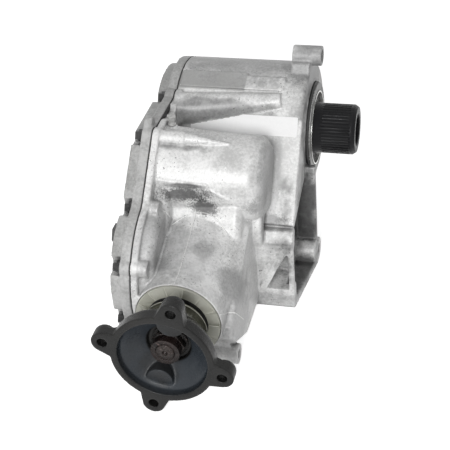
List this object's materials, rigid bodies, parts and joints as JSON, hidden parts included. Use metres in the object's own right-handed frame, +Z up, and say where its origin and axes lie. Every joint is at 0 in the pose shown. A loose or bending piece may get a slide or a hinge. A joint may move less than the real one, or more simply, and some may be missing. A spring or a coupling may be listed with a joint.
{
  "type": "transfer case",
  "caption": "Right-angle vehicle transfer case: ribbed cast housing with bolted cover, hollow splined input sleeve, geared countershaft and a bowl-shaped output flange.",
  "frame": {"origin": "on the input axis, in the plane of the pilot ring's front face", "axes": "+X along the input axis out of the splined end, -Y along the output axis out of the flange, +Z up as the case stands"},
  "size_m": [0.1874, 0.3295, 0.2042],
  "materials": {
    "cast_aluminium": "as-cast, light grey, slightly mottled",
    "gasket": "thin black gasket",
    "dark_fasteners": "dark phosphated steel",
    "plug_steel": "zinc-plated steel, dulled",
    "washer_metal": "soft sealing washer",
    "seal_metal": "pressed seal case",
    "rubber": "black seal rubber",
    "collar_olive": "olive-grey coated collar",
    "black_paint": "black coated iron",
    "black_sleeve": "black oxide steel, satin",
    "gear_steel": "ground gear steel",
    "bearing_steel": "polished bearing steel",
    "worn_steel": "machined steel",
    "rusty_nut": "rust-browned nut"
  },
  "bodies": {
    "case_body": {"main_case": "cast_aluminium", "side_cover": "cast_aluminium", "cover_gasket": "gasket", "cover_bolts": "dark_fasteners", "fill_plug": "plug_steel", "fill_plug_washer": "washer_metal", "drain_plug": "plug_steel", "drain_plug_washer": "washer_metal", "input_seal_case": "seal_metal", "input_seal_lip": "rubber", "pilot_o_ring": "rubber", "halfshaft_seal": "rubber", "pinion_seal": "rubber", "pinion_collar": "collar_olive", "input_bearing_cup": "bearing_steel", "input_cover_bearing_cup": "bearing_steel", "counter_case_bearing_cup": "bearing_steel", "counter_cover_bearing_cup": "bearing_steel", "pinion_head_bearing_cup": "bearing_steel", "pinion_tail_bearing_cup": "bearing_steel", "breather": "plug_steel", "dowel_pins": "gear_steel"},
    "input_shaft": {"input_sleeve": "black_sleeve", "input_gear": "gear_steel", "input_snap_ring": "gear_steel", "input_bearing_cone": "bearing_steel", "input_bearing_rollers": "bearing_steel", "input_cover_bearing_cone": "bearing_steel", "input_cover_bearing_rollers": "bearing_steel"},
    "countershaft": {"counter_shaft": "gear_steel", "driven_gear": "gear_steel", "ring_gear": "gear_steel", "ring_gear_bolts": "dark_fasteners", "counter_case_bearing_cone": "bearing_steel", "counter_case_bearing_rollers": "bearing_steel", "counter_cover_bearing_cone": "bearing_steel", "counter_cover_bearing_rollers": "bearing_steel"},
    "output_shaft": {"pinion_shaft": "worn_steel", "crush_spacer": "gear_steel", "dust_slinger": "black_paint", "output_flange": "black_paint", "pinion_nut": "rusty_nut", "pinion_head_bearing_cone": "bearing_steel", "pinion_head_bearing_rollers": "bearing_steel", "pinion_tail_bearing_cone": "bearing_steel", "pinion_tail_bearing_rollers": "bearing_steel"}
  },
  "joints": [
    {"name": "input_spin", "type": "hinge", "parent": "case_body", "child": "input_shaft", "pos_m": [0, 0, 0], "axis": [1, 0, 0], "continuous": true},
    {"name": "counter_spin", "type": "hinge", "parent": "case_body", "child": "countershaft", "pos_m": [0, -0.09202, -0.0404], "axis": [1, 0, 0], "continuous": true},
    {"name": "output_spin", "type": "hinge", "parent": "case_body", "child": "output_shaft", "pos_m": [-0.0819, 0, -0.0667], "axis": [0, 1, 0], "continuous": true}
  ],
  "couplings": [
    {"joint": "counter_spin", "follows": "input_spin", "ratio": -0.675},
    {"joint": "output_spin", "follows": "input_spin", "ratio": -2.025}
  ]
}
